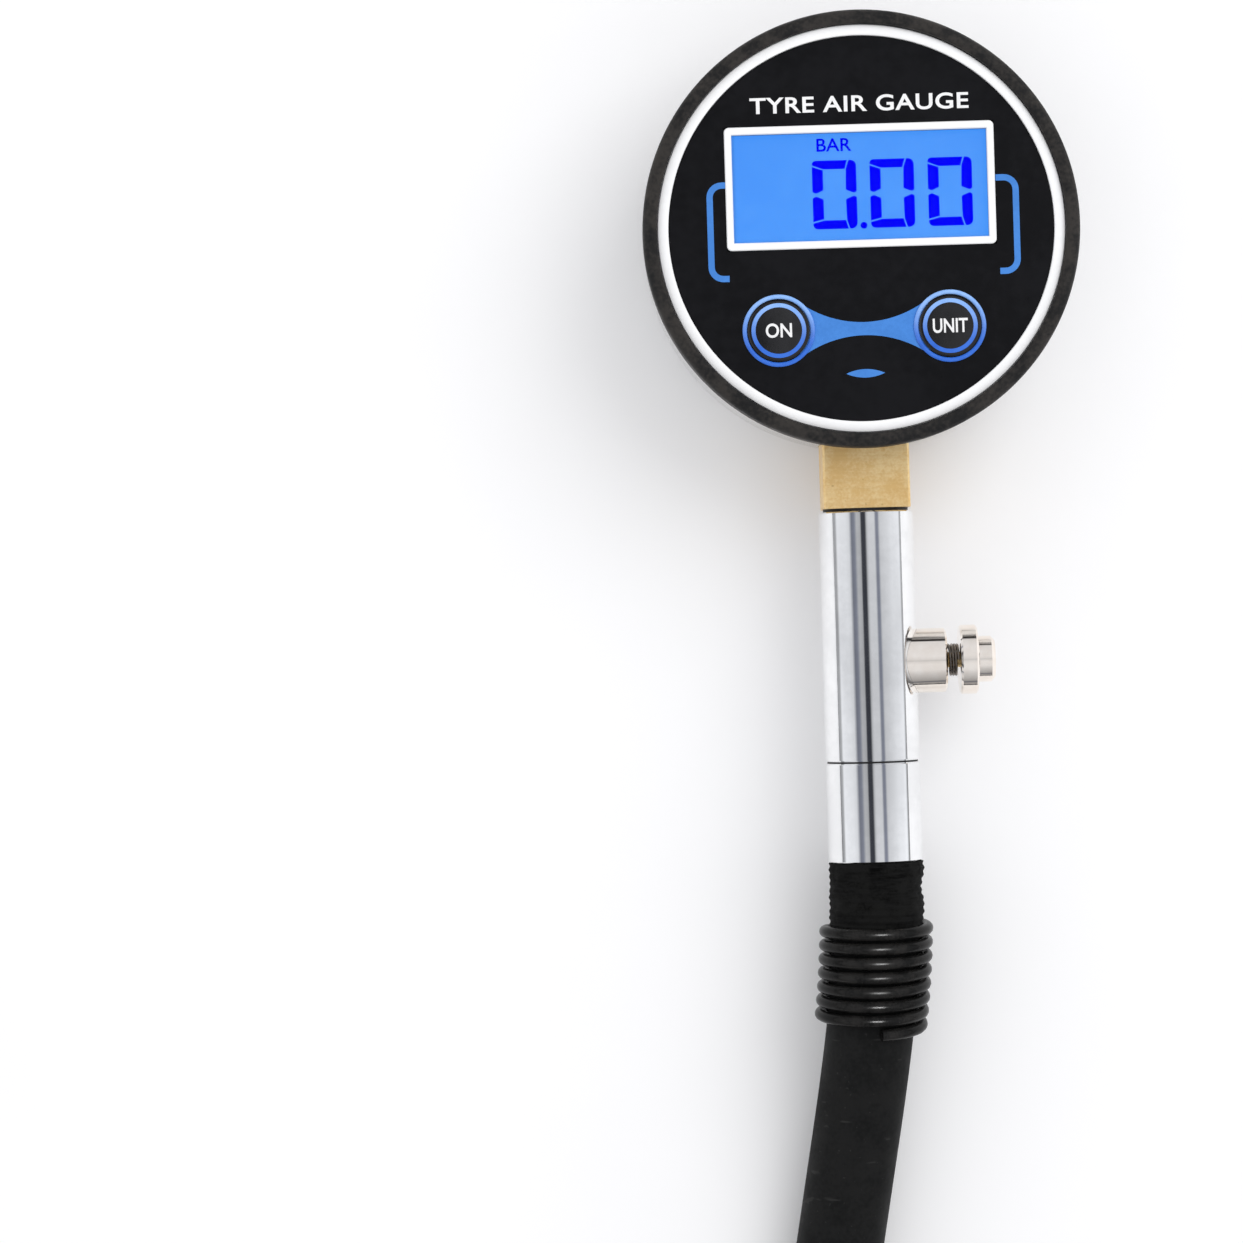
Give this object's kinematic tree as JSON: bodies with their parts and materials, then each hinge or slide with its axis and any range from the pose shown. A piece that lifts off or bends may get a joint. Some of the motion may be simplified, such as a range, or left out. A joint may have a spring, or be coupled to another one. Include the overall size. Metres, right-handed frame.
{
  "type": "tyre pressure gauge",
  "caption": "Round digital tyre pressure gauge with two keys, a brass stem, a chrome tube with a push bleed valve, and a rubber hose with spring guard and swivelling valve chuck.",
  "frame": {"origin": "middle of the flat back of the gauge case, which the gauge lies on", "axes": "+Z out of the display, +Y towards the top of the display, the stem and hose leave along -Y and the bleed valve points along +X"},
  "size_m": [0.1928, 0.3193, 0.029],
  "materials": {
    "polished_steel": "polished spun steel",
    "bezel_rubber": "matt black moulded rubber",
    "white_plastic": "satin white",
    "black_plastic": "moulded",
    "face_black": "satin printed sheet",
    "key_black": "satin",
    "key_blue": "satin",
    "clear_pane": "clear",
    "lcd_blue": "backlit",
    "light_guide": "moulded",
    "board_green": "solder mask",
    "chip_black": "moulded",
    "brass": "machined, brushed",
    "chrome": "bright plated",
    "nickel": "bright nickel plated",
    "spring_steel": "drawn wire",
    "black_wire": "semi-gloss black coating",
    "screw_steel": "zinc plated",
    "cell_jacket": "printed sleeve",
    "contact_nickel": "plated strip",
    "textile": "ribbed weave",
    "hose_rubber": "matt black rubber",
    "seal_rubber": "moulded"
  },
  "bodies": {
    "gauge": {"gauge_case": "polished_steel", "bezel_ring": "bezel_rubber", "dial_ring": "white_plastic", "face_plate": "black_plastic", "face_overlay": "face_black", "window_frame": "white_plastic", "display_window": "clear_pane", "lcd_panel": "lcd_blue", "backlight_panel": "light_guide", "zebra_strip": "seal_rubber", "circuit_board": "board_green", "control_chip": "chip_black", "board_screws": "screw_steel", "key_rings": "key_blue", "switch_bodies": "black_plastic", "inner_frame": "black_plastic", "battery_tray": "black_plastic", "battery_upper": "cell_jacket", "battery_lower": "cell_jacket", "contact_bridge": "contact_nickel", "contact_plates": "contact_nickel", "battery_cover": "black_plastic", "battery_cover_screws": "screw_steel", "stem_screws": "screw_steel", "pressure_sensor": "screw_steel", "sensor_o_ring": "seal_rubber", "sensor_leads": "contact_nickel", "stem_block": "brass", "stem_washer": "seal_rubber", "valve_tube": "chrome", "bleed_housing": "nickel", "bleed_spring": "spring_steel", "collar_o_ring": "seal_rubber", "hose_collar": "chrome", "hose_nipple": "brass", "fabric_sleeve": "textile", "spring_guard": "black_wire", "air_hose": "hose_rubber", "chuck_ferrule": "chrome", "chuck_nipple": "brass", "swivel_o_ring": "seal_rubber"},
    "on_key": {"on_button": "key_black", "on_switch_plunger": "black_plastic"},
    "mode_key": {"mode_button": "key_black", "mode_switch_plunger": "black_plastic"},
    "bleed_valve": {"bleed_button": "nickel", "bleed_spindle": "brass", "bleed_seal": "seal_rubber"},
    "chuck_head": {"swivel_nut": "nickel", "chuck_body": "chrome", "chuck_washer": "seal_rubber", "depressor_pin": "brass"}
  },
  "joints": [
    {"name": "on_press", "type": "slide", "parent": "gauge", "child": "on_key", "axis": [0, 0, -1], "range_m": [0, 0.0005], "stiffness_N_per_m": 1000, "springref_m": -0.0005},
    {"name": "mode_press", "type": "slide", "parent": "gauge", "child": "mode_key", "axis": [0, 0, -1], "range_m": [0, 0.0005], "stiffness_N_per_m": 1000, "springref_m": -0.0005},
    {"name": "bleed_press", "type": "slide", "parent": "gauge", "child": "bleed_valve", "axis": [-1, 0, 0], "range_m": [0, 0.0018], "stiffness_N_per_m": 1500, "springref_m": -0.002, "deforming": ["bleed_spring"]},
    {"name": "chuck_swivel", "type": "hinge", "parent": "gauge", "child": "chuck_head", "pos_m": [0.1449, -0.1609, 0.00795], "axis": [-0.1894, 0.9819, 0], "continuous": true}
  ]
}
